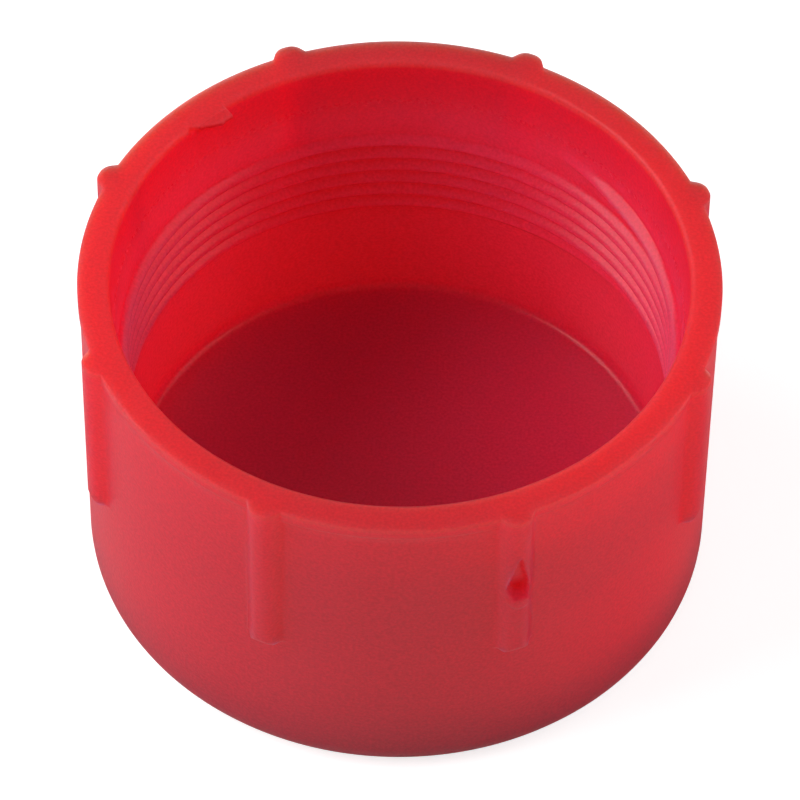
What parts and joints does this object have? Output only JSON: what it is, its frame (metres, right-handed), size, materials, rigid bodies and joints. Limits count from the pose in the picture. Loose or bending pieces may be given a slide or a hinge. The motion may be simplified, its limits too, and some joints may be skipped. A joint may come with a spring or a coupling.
{
  "type": "threaded protection cap",
  "caption": "Moulded plastic cap with grip ribs and a threaded mouth, screwed over a male thread to keep dirt and damage off it.",
  "frame": {"origin": "centre of the closed base's underside", "axes": "+Z along the cap's axis, from the closed base out of the mouth; +X lies midway between two grip ribs"},
  "size_m": [0.051, 0.051, 0.0314],
  "materials": {
    "red_plastic": "satin low-density polyethylene, faintly translucent"
  },
  "bodies": {
    "root": {"cap": "red_plastic"}
  },
  "joints": []
}
